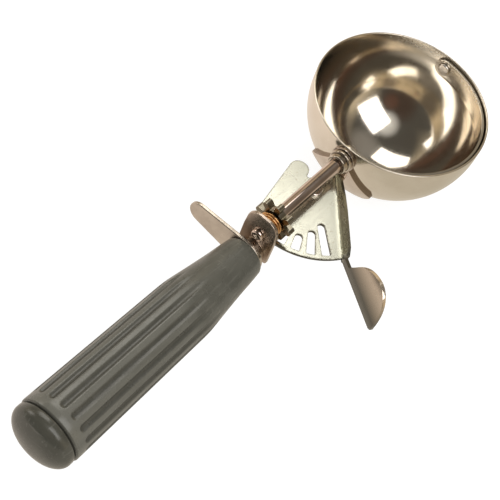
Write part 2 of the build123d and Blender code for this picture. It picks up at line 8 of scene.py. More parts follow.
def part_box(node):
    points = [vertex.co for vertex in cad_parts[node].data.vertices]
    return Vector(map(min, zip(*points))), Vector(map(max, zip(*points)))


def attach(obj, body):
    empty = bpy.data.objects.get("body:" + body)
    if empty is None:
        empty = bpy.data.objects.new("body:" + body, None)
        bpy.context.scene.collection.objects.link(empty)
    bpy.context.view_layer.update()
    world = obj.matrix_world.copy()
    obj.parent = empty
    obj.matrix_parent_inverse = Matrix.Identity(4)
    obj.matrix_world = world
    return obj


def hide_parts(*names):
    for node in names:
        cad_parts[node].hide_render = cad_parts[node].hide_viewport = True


# Lever ice cream scoop, dressed for looks. Metres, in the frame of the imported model:
# +X from the handle to the bowl, +Z out of the mouth of the bowl, thumb lever on -Y.

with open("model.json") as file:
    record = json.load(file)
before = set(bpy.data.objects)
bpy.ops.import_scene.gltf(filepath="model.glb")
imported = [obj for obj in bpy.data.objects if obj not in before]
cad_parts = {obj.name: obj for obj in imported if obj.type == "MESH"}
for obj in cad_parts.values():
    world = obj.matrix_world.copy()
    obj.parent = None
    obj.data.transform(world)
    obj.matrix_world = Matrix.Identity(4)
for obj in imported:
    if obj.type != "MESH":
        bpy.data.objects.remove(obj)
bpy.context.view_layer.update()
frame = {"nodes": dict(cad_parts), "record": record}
nodes = frame["nodes"]
MM = 0.001

body_of = {}
for body, members in frame["record"]["behaviour"]["bodies"].items():
    for member in members:
        body_of[member] = body

# ------------------------------------------------------------ sizes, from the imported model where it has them
bowl_low, bowl_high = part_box("bowl")
bowl_radius = bowl_high.x
bowl_lip = bowl_high.z
bowl_wall = 0.8 * MM
rim_rounding = 0.3 * MM
saddle_radius = bowl_radius + 1.7 * MM

# where the bowl's lip is worn dull: from below it up to its rim, and from the middle to the front
dull_low_z = -4 * MM
dull_high_z = 2.5 * MM
dull_start_x = 12 * MM
dull_full_x = 30 * MM

grip_low, grip_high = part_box("handle_grip")
grip_axis = Vector((0, 0, (grip_low.z + grip_high.z) / 2))
grip_radius = (grip_high.z - grip_low.z) / 2
grip_butt_x = grip_low.x + 0.8 * MM
shoulder_x = grip_high.x - 36.0 * MM
shoulder_radius = 11.94 * MM
plain_nose = 15 * MM

flute_count = 16
flute_cutter_radius = 1.5 * MM
flute_depth = 0.95 * MM
flute_slope = 0.011
flute_end_x = grip_low.x + 5.5 * MM
deepest_flute = 2 * MM
flute_front_x = shoulder_x + 3 * MM
flute_full_x = shoulder_x - 6 * MM

cap_low, cap_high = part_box("end_cap")
cap_radius = (cap_high.z - cap_low.z) / 2
cap_length = grip_low.x - cap_low.x
cap_band = 2.3 * MM

spindle_low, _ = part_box("spindle")
lever_low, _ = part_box("thumb_lever")
lever_thickness = 1.2 * MM
lever_half = lever_thickness / 2
lever_middle_z = lever_low.z + lever_half
# heights where the flange's painted dark reflection starts and where it is full
flange_foot_z = lever_low.z + 1.7 * MM
flange_full_z = lever_low.z + 2.6 * MM
pivot_x = -52.0 * MM
pad_inner_radius = 30.5 * MM
pad_full_radius = 33.0 * MM
# heights over which the thumb pad's painted reflection runs from dark to pale
pad_dark_z = -1.0 * MM
pad_pale_z = 9.5 * MM

merge_distance = 0.002 * MM
smooth_ring = 128

star_reach = 2.1 * MM
star_tip = 0.15 * MM
star_height = 0.5 * MM
star_sink = 0.05 * MM
star_waist = 0.42

# widths of rubbed edges and of the painted dark outline, and depths that the fine grain stands for
steel_edge = 0.35 * MM
plastic_edge = 0.7 * MM
plate_outline = 1.0 * MM
steel_grain = 0.05 * MM
plastic_grain = 0.08 * MM
brush_fineness = 1000

# how strongly scratches, brushed streaks and smudges show
steel_scratches = 0.5
steel_streaks = 0.4
plastic_scratches = 0.12
plastic_smudges = 0.12


# ================================================================= modelling helpers
def deselect_all():
    """Nothing is selected, so that the next operator acts on one piece only."""
    if bpy.context.object and bpy.context.object.mode != "OBJECT":
        bpy.ops.object.mode_set(mode="OBJECT")
    bpy.ops.object.select_all(action="DESELECT")


def take(piece):
    """Selects one piece alone and makes it active."""
    deselect_all()
    piece.select_set(True)
    bpy.context.view_layer.objects.active = piece


def settle(piece):
    """Puts the piece's place, turn and scale into its mesh."""
    take(piece)
    bpy.ops.object.transform_apply(location=True, rotation=True, scale=True)
    return piece


def apply_modifier(piece, kind, **settings):
    """Adds a modifier with its settings and applies it."""
    take(piece)
    modifier = piece.modifiers.new(kind.lower(), kind)
    for key, value in settings.items():
        setattr(modifier, key, value)
    bpy.ops.object.modifier_apply(modifier=modifier.name)


def smooth(piece, angle):
    """Smooth shading across edges flatter than the angle, in degrees."""
    take(piece)
    bpy.ops.object.shade_smooth_by_angle(angle=math.radians(angle))


def bevel(piece, width, segments, angle):
    """Rounds the edges that are sharper than the angle, in degrees."""
    limit = math.radians(angle)
    apply_modifier(piece, "BEVEL", width=width, segments=segments, limit_method="ANGLE", angle_limit=limit)


def round_edges(piece, width):
    """Rounds the sharp edges and shades the piece so that its flat faces stay flat."""
    bevel(piece, width, segments=2, angle=32)
    smooth(piece, 40)
    apply_modifier(piece, "WEIGHTED_NORMAL", keep_sharp=True, weight=80)


def face_outwards(piece):
    """Merges doubles and turns every face outwards."""
    take(piece)
    bpy.ops.object.mode_set(mode="EDIT")
    bpy.ops.mesh.select_all(action="SELECT")
    bpy.ops.mesh.remove_doubles(threshold=merge_distance)
    bpy.ops.mesh.normals_make_consistent(inside=False)
    bpy.ops.object.mode_set(mode="OBJECT")
    return piece


def merged_copy(node, flatness=0.6):
    """Copy of a CAD node with doubles merged, and faces within the flatness, in degrees, made whole."""
    piece = bpy.data.objects.new(node + "_dressed", nodes[node].data.copy())
    bpy.context.scene.collection.objects.link(piece)
    piece.data.materials.clear()
    take(piece)
    bpy.ops.mesh.customdata_custom_splitnormals_clear()
    bpy.ops.object.mode_set(mode="EDIT")
    bpy.ops.mesh.select_all(action="SELECT")
    bpy.ops.mesh.remove_doubles(threshold=merge_distance)
    bpy.ops.mesh.dissolve_limited(angle_limit=math.radians(flatness))
    bpy.ops.object.mode_set(mode="OBJECT")
    return piece


def select_where(piece, part, test):
    """Selects the vertices or the edges whose centre passes the test, and nothing else."""
    bpy.ops.object.mode_set(mode="EDIT")
    bpy.ops.mesh.select_mode(type=part)
    bpy.ops.mesh.select_all(action="DESELECT")
    bpy.ops.object.mode_set(mode="OBJECT")
    mesh = piece.data
    if part == "VERT":
        for vertex in mesh.vertices:
            vertex.select = test(vertex.co)
    else:
        for edge in mesh.edges:
            low, high = (mesh.vertices[end].co for end in edge.vertices)
            edge.select = test((low + high) / 2)
    bpy.ops.object.mode_set(mode="EDIT")


def turn_on_lathe(name, axis, stations, segments):
    """Round piece about a line along X: a ring at the first station, drawn out to each next one.

    Each station is a distance along X and a radius, from the front of the piece to its back."""
    first_x, first_radius = stations[0]
    centre = Vector((first_x, axis.y, axis.z))
    turn = (0, math.radians(90), 0)
    bpy.ops.mesh.primitive_circle_add(vertices=segments, radius=first_radius, location=centre, rotation=turn)
    piece = settle(bpy.context.object)
    piece.name = name
    bpy.ops.object.mode_set(mode="EDIT")
    bpy.ops.mesh.select_all(action="SELECT")
    bpy.ops.mesh.edge_face_add()
    x, radius = first_x, first_radius
    for next_x, next_radius in stations[1:]:
        step = {"value": (next_x - x, 0, 0)}
        bpy.ops.mesh.extrude_region_move(TRANSFORM_OT_translate=step)
        growth = next_radius / radius
        ring_centre = (next_x, axis.y, axis.z)
        bpy.ops.transform.resize(value=(1, growth, growth), center_override=ring_centre)
        x, radius = next_x, next_radius
    bpy.ops.object.mode_set(mode="OBJECT")
    return face_outwards(piece)


def finish_piece(piece, material, *replaced):
    """Gives a piece its material and the body of the first CAD node that it stands for, and hides the nodes it
    replaces.
    """
    piece.data.materials.clear()
    piece.data.materials.append(material)
    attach(piece, body_of[replaced[0]])
    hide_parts(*replaced)


# ================================================================= shader helpers
def is_socket(value):
    """True for a node's socket, false for a plain value."""
    return hasattr(value, "is_output")


def feed(tree, value, socket):
    """Links a socket to an input, or sets the input to a plain value."""
    if is_socket(value):
        tree.links.new(value, socket)
    else:
        socket.default_value = value


def noise(tree, vector, scale, detail, roughness=0.5):
    """Noise texture fed by a vector."""
    node = tree.nodes.new("ShaderNodeTexNoise")
    node.inputs["Detail"].default_value = detail
    node.inputs["Roughness"].default_value = roughness
    tree.links.new(vector, node.inputs["Vector"])
    feed(tree, scale, node.inputs["Scale"])
    return node.outputs["Fac"]


def spread(tree, value, low, high, to_low=0.0, to_high=1.0, easing="LINEAR"):
    """Stretches the range from low to high over a new range, and clamps the rest."""
    node = tree.nodes.new("ShaderNodeMapRange")
    node.interpolation_type = easing
    node.inputs["From Min"].default_value = low
    node.inputs["From Max"].default_value = high
    node.inputs["To Min"].default_value = to_low
    node.inputs["To Max"].default_value = to_high
    tree.links.new(value, node.inputs["Value"])
    return node.outputs["Result"]


def combine(tree, operation, first, second=0.0):
    """Math on one or two values, each a socket or a number."""
    node = tree.nodes.new("ShaderNodeMath")
    node.operation = operation
    feed(tree, first, node.inputs[0])
    feed(tree, second, node.inputs[1])
    return node.outputs["Value"]


def dot_product(tree, first, second):
    """Dot product of two vectors, each a socket or a plain vector."""
    node = tree.nodes.new("ShaderNodeVectorMath")
    node.operation = "DOT_PRODUCT"
    feed(tree, first, node.inputs[0])
    feed(tree, second, node.inputs[1])
    return node.outputs["Value"]


def stretched(tree, vector, scale, turn=(0, 0, 0)):
    """Vector turned, by degrees, and stretched, which draws a pattern out along one direction."""
    node = tree.nodes.new("ShaderNodeMapping")
    node.inputs["Rotation"].default_value = [math.radians(angle) for angle in turn]
    node.inputs["Scale"].default_value = scale
    tree.links.new(vector, node.inputs["Vector"])
    return node.outputs["Vector"]


def opaque(colour):
    """Plain colour with full cover, or a socket as it is."""
    return colour if is_socket(colour) else (*colour, 1)


def tinted(tree, factor, first, second):
    """Colour that runs from the first to the second; each is a colour or a socket."""
    node = tree.nodes.new("ShaderNodeMix")
    node.data_type = "RGBA"
    tree.links.new(factor, node.inputs["Factor"])
    feed(tree, opaque(first), node.inputs["A"])
    feed(tree, opaque(second), node.inputs["B"])
    return node.outputs["Result"]


def parts_of(tree, vector):
    """The three parts of a vector."""
    node = tree.nodes.new("ShaderNodeSeparateXYZ")
    tree.links.new(vector, node.inputs["Vector"])
    return node.outputs["X"], node.outputs["Y"], node.outputs["Z"]


def distance_in_plane(tree, first, second):
    """Length of the vector whose two parts are given."""
    squares = combine(tree, "ADD", combine(tree, "POWER", first, 2), combine(tree, "POWER", second, 2))
    return combine(tree, "SQRT", squares)


def flat_light(tree, kind, colour, strength=1.0):
    """Emission or background of one colour, which is a colour or a socket."""
    node = tree.nodes.new(kind)
    feed(tree, opaque(colour), node.inputs["Color"])
    node.inputs["Strength"].default_value = strength
    return node.outputs[0]


def by_ray(tree, kind, others, chosen):
    """Shows one shader to one kind of ray and another shader to the others."""
    path = tree.nodes.new("ShaderNodeLightPath")
    node = tree.nodes.new("ShaderNodeMixShader")
    tree.links.new(path.outputs[kind], node.inputs["Fac"])
    tree.links.new(others, node.inputs[1])
    tree.links.new(chosen, node.inputs[2])
    return node.outputs["Shader"]


# ================================================================= effects shared by the materials
def new_effect(name, inputs, outputs):
    """Empty node group with named inputs and outputs."""
    effect = bpy.data.node_groups.new(name, "ShaderNodeTree")
    for label, kind, value in inputs:
        socket = effect.interface.new_socket(label, in_out="INPUT", socket_type=kind)
        if kind == "NodeSocketFloat":
            socket.default_value = value
    for label in outputs:
        effect.interface.new_socket(label, in_out="OUTPUT", socket_type="NodeSocketFloat")
    entry = effect.nodes.new("NodeGroupInput")
    leave = effect.nodes.new("NodeGroupOutput")
    return effect, entry, leave


def build_edge_wear_and_shade():
    """Mask of the outer edges, with gaps: rubbed bright or bare, and on the lever's plate a painted dark
    outline of shade.
    """
    inputs = [("Width", "NodeSocketFloat", 0.4 * MM), ("Vector", "NodeSocketVector", None)]
    effect, entry, leave = new_effect("edge_wear_and_shade", inputs, ["Mask"])
    rounded = effect.nodes.new("ShaderNodeBevel")
    rounded.samples = 6
    effect.links.new(entry.outputs["Width"], rounded.inputs["Radius"])
    surface = effect.nodes.new("ShaderNodeNewGeometry")
    match = dot_product(effect, rounded.outputs["Normal"], surface.outputs["Normal"])
    edge = spread(effect, match, 0.985, 0.80)
    gaps = spread(effect, noise(effect, entry.outputs["Vector"], 700, 3), 0.35, 0.6)
    effect.links.new(combine(effect, "MULTIPLY", edge, gaps), leave.inputs["Mask"])
    return effect


def build_hairlines():
    """Mask of fine scratches in two crossing directions."""
    inputs = [("Vector", "NodeSocketVector", None), ("Fineness", "NodeSocketFloat", 500.0)]
    effect, entry, leave = new_effect("hairlines", inputs, ["Mask"])
    vector = entry.outputs["Vector"]
    fineness = entry.outputs["Fineness"]
    along = noise(effect, stretched(effect, vector, (0.05, 1, 1), (0, 0, 24)), fineness, 2)
    across = noise(effect, stretched(effect, vector, (1, 0.06, 1), (12, 0, 9)), fineness, 2)
    first = spread(effect, along, 0.60, 0.68)
    second = spread(effect, across, 0.63, 0.70)
    effect.links.new(combine(effect, "MAXIMUM", first, second), leave.inputs["Mask"])
    return effect


def build_handling_marks():
    """Mask of soft smudges and a little dried spatter."""
    inputs = [("Vector", "NodeSocketVector", None), ("Size", "NodeSocketFloat", 70.0)]
    effect, entry, leave = new_effect("handling_marks", inputs, ["Mask"])
    vector = entry.outputs["Vector"]
    smudge = spread(effect, noise(effect, vector, entry.outputs["Size"], 5, 0.6), 0.42, 0.66)
    spatter = spread(effect, noise(effect, vector, 420, 2), 0.66, 0.74, 0.0, 0.5)
    effect.links.new(combine(effect, "MAXIMUM", smudge, spatter), leave.inputs["Mask"])
    return effect


def build_moulded_grain():
    """Height of a fine moulded grain and a slow mottle of the colour."""
    inputs = [("Vector", "NodeSocketVector", None), ("Fineness", "NodeSocketFloat", 1500.0)]
    effect, entry, leave = new_effect("moulded_grain", inputs, ["Height", "Mottle"])
    vector = entry.outputs["Vector"]
    effect.links.new(noise(effect, vector, entry.outputs["Fineness"], 2), leave.inputs["Height"])
    effect.links.new(spread(effect, noise(effect, vector, 160, 4), 0.35, 0.7), leave.inputs["Mottle"])
    return effect


edge_wear_and_shade = build_edge_wear_and_shade()
hairlines = build_hairlines()
handling_marks = build_handling_marks()
moulded_grain = build_moulded_grain()


# ================================================================= materials
def new_material(name):
    """Empty material with its Principled shader and output."""
    material = bpy.data.materials.new(name)
    material.use_nodes = True
    tree = material.node_tree
    tree.nodes.clear()
    output = tree.nodes.new("ShaderNodeOutputMaterial")
    shader = tree.nodes.new("ShaderNodeBsdfPrincipled")
    tree.links.new(shader.outputs["BSDF"], output.inputs["Surface"])
    return material, tree, shader


def shader_of(material):
    """The Principled shader of a finished material."""
    return next(node for node in material.node_tree.nodes if node.type == "BSDF_PRINCIPLED")


def object_place(tree):
    """Object coordinates."""
    return tree.nodes.new("ShaderNodeTexCoord").outputs["Object"]


def place_parts(tree):
    """The three object coordinates apart."""
    return parts_of(tree, object_place(tree))


def effect_node(tree, effect, vector, **values):
    """One of the shared effects with its own values."""
    node = tree.nodes.new("ShaderNodeGroup")
    node.node_tree = effect
    tree.links.new(vector, node.inputs["Vector"])
    for label, value in values.items():
        node.inputs[label].default_value = value
    return node


def effect_mask(tree, effect, vector, **values):
    """Mask of one of the shared effects with its own values."""
    return effect_node(tree, effect, vector, **values).outputs["Mask"]


def bump(tree, shader, height, strength, distance):
    """Bump from a height, on the shader's normal."""
    node = tree.nodes.new("ShaderNodeBump")
    node.inputs["Strength"].default_value = strength
    node.inputs["Distance"].default_value = distance
    tree.links.new(height, node.inputs["Height"])
    tree.links.new(node.outputs["Normal"], shader.inputs["Normal"])


def steel(name, colour, shade, bright, roughness, marks, brush=(0.02, 1, 1), depth=0.02):
    """Steel: smudged between two tones, brushed or turned one way, scratched, with rubbed edges."""
    material, tree, shader = new_material(name)
    shader.inputs["Metallic"].default_value = 1.0
    place = object_place(tree)
    smudges = effect_mask(tree, handling_marks, place)
    scratches = combine(tree, "MULTIPLY", effect_mask(tree, hairlines, place), steel_scratches)
    edges = effect_mask(tree, edge_wear_and_shade, place, Width=steel_edge)
    grain = noise(tree, stretched(tree, place, brush), brush_fineness, 2)
    body = tinted(tree, smudges, colour, shade)
    tree.links.new(tinted(tree, edges, body, bright), shader.inputs["Base Color"])
    rough = spread(tree, smudges, 0.0, 1.0, roughness, roughness + marks)
    rough = combine(tree, "ADD", rough, combine(tree, "MULTIPLY", scratches, marks))
    streaks = spread(tree, grain, 0.3, 0.7, -steel_streaks * marks, steel_streaks * marks)
    tree.links.new(combine(tree, "ADD", rough, streaks), shader.inputs["Roughness"])
    height = combine(tree, "SUBTRACT", grain, scratches)
    bump(tree, shader, height, depth, steel_grain)
    return material


def plastic(name, colour, shade, worn, roughness, grain_depth):
    """Moulded plastic: grained and mottled, paler where hands rub the edges."""
    material, tree, shader = new_material(name)
    shader.inputs["Specular IOR Level"].default_value = 0.5
    place = object_place(tree)
    grain = effect_node(tree, moulded_grain, place)
    smudges = effect_mask(tree, handling_marks, place, Size=110.0)
    scratches = effect_mask(tree, hairlines, place, Fineness=900.0)
    scratches = combine(tree, "MULTIPLY", scratches, plastic_scratches)
    edges = effect_mask(tree, edge_wear_and_shade, place, Width=plastic_edge)
    body = tinted(tree, grain.outputs["Mottle"], colour, shade)
    paler_share = combine(tree, "MAXIMUM", edges, scratches)
    tree.links.new(tinted(tree, paler_share, body, worn), shader.inputs["Base Color"])
    rough = spread(tree, smudges, 0.0, 1.0, roughness, roughness + plastic_smudges)
    tree.links.new(rough, shader.inputs["Roughness"])
    height = combine(tree, "SUBTRACT", grain.outputs["Height"], scratches)
    bump(tree, shader, height, grain_depth, plastic_grain)
    return material


def stain_or_painted_light(material, mask, colour):
    """Draws a stain or painted light over the base colour of a finished material; the colour is plain or draws
    itself.
    """
    tree, shader = material.node_tree, shader_of(material)
    beneath = shader.inputs["Base Color"].links[0].from_socket
    over = colour(tree) if callable(colour) else colour
    tree.links.new(tinted(tree, mask(tree), beneath, over), shader.inputs["Base Color"])


# ----------------------------------------------------------------- where the materials are stained or worn, and where shade, highlights and reflections are painted on
def fluted_part(tree, shallow, deep):
    """Mask of what lies between two depths below the grip's round surface, where the grip is fluted."""
    x, y, z = place_parts(tree)
    distance = distance_in_plane(tree, y, combine(tree, "SUBTRACT", z, grip_axis.z))
    surface = spread(tree, x, grip_low.x, shoulder_x, grip_radius, shoulder_radius)
    depth = combine(tree, "SUBTRACT", surface, distance)
    straight = spread(tree, x, flute_front_x, flute_full_x)
    return combine(tree, "MULTIPLY", spread(tree, depth, shallow, deep), straight)


def flute_dirt_and_shade(tree):
    """Mask of the floors of the grip's flutes, darkened for dirt and as painted shade in the hollows."""
    gaps = spread(tree, noise(tree, object_place(tree), 180, 4), 0.2, 0.5, 0.6, 1.0)
    return combine(tree, "MULTIPLY", fluted_part(tree, 0.05 * MM, 0.6 * MM), gaps)


def painted_ridge_highlight(tree):
    """Mask of the grip's ridges between the flutes, painted paler in streaks as a highlight."""
    streaks = noise(tree, stretched(tree, object_place(tree), (0.15, 1, 1)), 260, 3)
    paler_share = spread(tree, streaks, 0.3, 0.6, 0.4, 1.0)
    return combine(tree, "MULTIPLY", fluted_part(tree, 0.10 * MM, 0.03 * MM), paler_share)


def painted_edge_shade(tree):
    """Mask of the painted shade and dark reflection along every edge of the lever's plate and of its slots."""
    edges = effect_mask(tree, edge_wear_and_shade, object_place(tree), Width=plate_outline)
    return combine(tree, "MINIMUM", combine(tree, "MULTIPLY", edges, 1.8), 0.9)


def pits(tree):
    """Mask of small brown pits scattered over the lever's plate."""
    return spread(tree, noise(tree, object_place(tree), 1100, 1), 0.66, 0.74, 0.0, 0.7)


def painted_wall_shade(tree):
    """Mask of the walls of the lever's plate, between its two faces, painted dark as shade."""
    _, _, z = place_parts(tree)
    off_middle = combine(tree, "ABSOLUTE", combine(tree, "SUBTRACT", z, lever_middle_z))
    return spread(tree, off_middle, lever_half + 0.005 * MM, lever_half - 0.03 * MM, 0.0, 0.9)


def painted_flange_reflection(tree):
    """Mask of what stands up from the lever's plate, painted darker as a dark reflection."""
    _, _, z = place_parts(tree)
    return spread(tree, z, flange_foot_z, flange_full_z)


def thumb_pad_region(tree):
    """Mask of the thumb pad, outside the round edge of the lever's plate."""
    x, y, _ = place_parts(tree)
    radius = distance_in_plane(tree, combine(tree, "SUBTRACT", x, pivot_x), y)
    return spread(tree, radius, pad_inner_radius, pad_full_radius)


def painted_pad_reflection(tree):
    """Colour of the thumb pad, a painted reflection: dark near its base and pale towards its rim."""
    _, _, z = place_parts(tree)
    paler_share = spread(tree, z, pad_dark_z, pad_pale_z)
    return tinted(tree, paler_share, (0.081, 0.070, 0.052), (0.65, 0.557, 0.464))


def painted_arm_shade(tree):
    """Mask of the walls of the saddle, between its inner and outer face, painted dark as shade."""
    x, y, z = place_parts(tree)
    radius = distance_in_plane(tree, x, distance_in_plane(tree, y, z))
    return spread(tree, radius, saddle_radius - 0.1 * MM, saddle_radius - 0.3 * MM, 0.0, 0.92)


def dull_lip(material):
    """Makes the steel duller at the front of the bowl's lip, which digs in first and wears most."""
    tree, shader = material.node_tree, shader_of(material)
    beneath = shader.inputs["Roughness"].links[0].from_socket
    x, _, z = place_parts(tree)
    lip = spread(tree, z, dull_low_z, dull_high_z, 0.0, 0.16)
    front = spread(tree, x, dull_start_x, dull_full_x, 0.15, 1.0)
    worn = combine(tree, "MULTIPLY", lip, front)
    tree.links.new(combine(tree, "ADD", beneath, worn), shader.inputs["Roughness"])


# ----------------------------------------------------------------- the materials themselves
# lathe marks run round X, where plain brushing runs along it
turned = (1, 0.02, 0.02)
bowl_steel = steel(
    "bowl_steel", colour=(0.789, 0.731, 0.644), shade=(0.742, 0.679, 0.586), bright=(0.858, 0.8, 0.719),
    roughness=0.10, marks=0.04,
)
dull_lip(bowl_steel)
saddle_steel = steel(
    "saddle_steel", colour=(0.719, 0.638, 0.568), shade=(0.626, 0.545, 0.476), bright=(0.812, 0.719, 0.638),
    roughness=0.16, marks=0.10,
)
# painted shade on the walls of the saddle's arms
stain_or_painted_light(saddle_steel, painted_arm_shade, (0.24, 0.185, 0.14))
lever_steel = steel(
    "lever_steel", colour=(0.835, 0.841, 0.742), shade=(0.766, 0.771, 0.673), bright=(0.835, 0.835, 0.742),
    roughness=0.22, marks=0.06, depth=0.04,
)
stain_or_painted_light(lever_steel, pits, (0.48, 0.40, 0.31))
# painted shade and dark reflection: a dark line along the plate's edges and slots
stain_or_painted_light(lever_steel, painted_edge_shade, (0.10, 0.09, 0.07))
# painted dark reflection on the flange
stain_or_painted_light(lever_steel, painted_flange_reflection, (0.313, 0.302, 0.244))
# painted reflection on the thumb pad, dark low down and pale at the rim
stain_or_painted_light(lever_steel, thumb_pad_region, painted_pad_reflection)
# painted shade on the walls of the plate and of its slots
stain_or_painted_light(lever_steel, painted_wall_shade, (0.06, 0.055, 0.04))
spindle_steel = steel(
    "spindle_steel", colour=(0.719, 0.592, 0.522), shade=(0.534, 0.429, 0.371), bright=(0.905, 0.8, 0.731),
    roughness=0.05, marks=0.05,
)
guard_steel = steel(
    "guard_steel", colour=(0.545, 0.458, 0.389), shade=(0.383, 0.313, 0.261), bright=(0.94, 0.94, 0.916),
    roughness=0.24, marks=0.10,
)
rest_steel = steel(
    "rest_steel", colour=(0.638, 0.568, 0.487), shade=(0.51, 0.447, 0.383), bright=(0.905, 0.824, 0.742),
    roughness=0.26, marks=0.12, depth=0.06,
)
bush_steel = steel(
    "bush_steel", colour=(0.742, 0.673, 0.58), shade=(0.348, 0.29, 0.232), bright=(0.94, 0.893, 0.812),
    roughness=0.06, marks=0.06, brush=turned,
)
fitting_steel = steel(
    "fitting_steel", colour=(0.673, 0.592, 0.51), shade=(0.522, 0.452, 0.383), bright=(0.858, 0.789, 0.708),
    roughness=0.12, marks=0.10, brush=turned,
)
pinion_steel = steel(
    "pinion_steel", colour=(0.33, 0.30, 0.235), shade=(0.215, 0.195, 0.15), bright=(0.70, 0.64, 0.54),
    roughness=0.20, marks=0.12, brush=turned, depth=0.12,
)
pin_steel = steel(
    "pin_steel", colour=(0.94, 0.882, 0.812), shade=(0.858, 0.742, 0.673), bright=(0.94, 0.94, 0.928),
    roughness=0.20, marks=0.08,
)
spring_bronze = steel(
    "spring_bronze", colour=(0.696, 0.394, 0.174), shade=(0.51, 0.278, 0.116), bright=(0.905, 0.603, 0.348),
    roughness=0.18, marks=0.12,
)
grip_plastic = plastic(
    "grip_plastic", colour=(0.124, 0.120, 0.098), shade=(0.102, 0.099, 0.080), worn=(0.34, 0.33, 0.28),
    roughness=0.22, grain_depth=0.12,
)
# painted highlight: the ridges between the flutes are drawn paler
stain_or_painted_light(grip_plastic, painted_ridge_highlight, (0.165, 0.160, 0.133))
# dark colour in the flutes' floors: dirt, and painted shade of the hollows
stain_or_painted_light(grip_plastic, flute_dirt_and_shade, (0.078, 0.076, 0.062))
cap_plastic = plastic(
    "cap_plastic", colour=(0.084, 0.081, 0.064), shade=(0.068, 0.065, 0.051), worn=(0.30, 0.29, 0.25),
    roughness=0.18, grain_depth=0.06,
)


# ================================================================= bowl
def build_bowl():
    """Half sphere with a short straight lip, a thin wall and a rounded rim."""
    bpy.ops.mesh.primitive_uv_sphere_add(segments=160, ring_count=80, radius=bowl_radius, location=(0, 0, 0))
    piece = settle(bpy.context.object)
    piece.name = "bowl_dressed"
    bpy.ops.object.mode_set(mode="EDIT")
    bpy.ops.mesh.select_all(action="SELECT")
    bpy.ops.mesh.bisect(plane_co=(0, 0, 0), plane_no=(0, 0, 1), clear_outer=True)
    select_where(piece, "EDGE", lambda middle: abs(middle.z) < 0.01 * MM)
    bpy.ops.mesh.extrude_region_move(TRANSFORM_OT_translate={"value": (0, 0, bowl_lip)})
    bpy.ops.object.mode_set(mode="OBJECT")
    face_outwards(piece)
    apply_modifier(piece, "SOLIDIFY", thickness=bowl_wall, offset=-1)
    bevel(piece, rim_rounding, segments=3, angle=60)
    smooth(piece, 50)
    finish_piece(piece, bowl_steel, "bowl")


# ================================================================= grip
def taper(x):
    """Radius of the grip's straight taper, from the shoulder to the butt."""
    return shoulder_radius + (x - shoulder_x) / (grip_butt_x - shoulder_x) * (grip_radius - shoulder_radius)


def flute_cut(x, angle, surface_radius):
    """Depth of the round-bottomed flutes below the surface, at a place along the grip and an angle."""
    pitch = 2 * math.pi / flute_count
    off_centre = (angle + pitch / 2) % pitch - pitch / 2
    behind = max(0.0, flute_end_x - x)
    half = math.sqrt(max(0.0, flute_cutter_radius**2 - behind**2))
    reach = grip_radius - flute_depth + flute_cutter_radius - flute_slope * (x - flute_end_x)
    sideways = reach * math.sin(abs(off_centre))
    if sideways >= half:
        return 0.0
    floor_radius = reach * math.cos(off_centre) - math.sqrt(half**2 - sideways**2)
    return max(0.0, surface_radius - floor_radius)


def build_grip():
    """Tapered grip drawn out ring by ring, then fluted by a weighted push towards its axis."""
    front_x, back_x = grip_high.x, grip_low.x
    # millimetres behind the front end, and radius there
    nose_outline = [
        (0.0, 6.2), (0.15, 7.2), (0.55, 7.95), (1.1, 8.22), (3.0, 8.48), (5.8, 8.80),
        (8.2, 9.03), (10.8, 9.27), (13.3, 9.53), (15.8, 9.82), (18.3, 10.12), (20.9, 10.43),
        (23.4, 10.75), (25.9, 11.08), (28.3, 11.40), (30.6, 11.67), (32.3, 11.81), (34.0, 11.89),
    ]
    stations = [(front_x - back * MM, radius * MM) for back, radius in nose_outline]
    stations.append((shoulder_x, shoulder_radius))
    straight_rings = 36
    for ring in range(1, straight_rings + 1):
        x = shoulder_x + ring / straight_rings * (flute_end_x - shoulder_x)
        stations.append((x, taper(x)))
    # rings close together round the flutes' ends, in shares of the cutter's radius
    for share in (0.2, 0.4, 0.6, 0.75, 0.88, 0.97, 1.1, 1.5):
        x = flute_end_x - share * flute_cutter_radius
        stations.append((x, taper(x)))
    stations.append((grip_butt_x, grip_radius))
    stations.append((back_x + 0.3 * MM, grip_radius - 0.25 * MM))
    stations.append((back_x, grip_radius - 0.8 * MM))
    corners_per_flute = 16
    piece = turn_on_lathe("handle_grip_dressed", grip_axis, stations, corners_per_flute * flute_count)
    group = piece.vertex_groups.new(name="flutes")
    for vertex in piece.data.vertices:
        y, z = vertex.co.y, vertex.co.z - grip_axis.z
        if vertex.co.x < front_x - plain_nose:
            cut = flute_cut(vertex.co.x, math.atan2(z, y), math.hypot(y, z))
            group.add([vertex.index], cut / deepest_flute, "REPLACE")
    push = dict(strength=-deepest_flute, mid_level=0.0, direction="NORMAL", vertex_group="flutes")
    apply_modifier(piece, "DISPLACE", **push)
    smooth(piece, 60)
    finish_piece(piece, grip_plastic, "handle_grip")


def build_cap():
    """Domed cap with a short straight band and a soft shoulder."""
    back_x = grip_low.x
    # millimetres behind the grip's butt, and inside the cap's radius
    rim_outline = [(0.02, 1.3), (0.25, 0.55), (0.6, 0.15), (1.1, 0.0)]
    stations = [(back_x - back * MM, cap_radius - inside * MM) for back, inside in rim_outline]
    dome_length = cap_length - cap_band
    dome_rings = 25
    # powers of the dome's sine and cosine; with 1 and 1 it would be half an ellipse
    drop, fullness = 1.05, 0.86
    for ring in range(dome_rings):
        turn = math.radians(90) * ring / dome_rings
        x = back_x - cap_band - dome_length * math.sin(turn) ** drop
        stations.append((x, cap_radius * math.cos(turn) ** fullness))
    stations.append((cap_low.x, cap_radius * 0.02))
    piece = turn_on_lathe("end_cap_dressed", grip_axis, stations, smooth_ring)
    smooth(piece, 40)
    finish_piece(piece, cap_plastic, "end_cap")


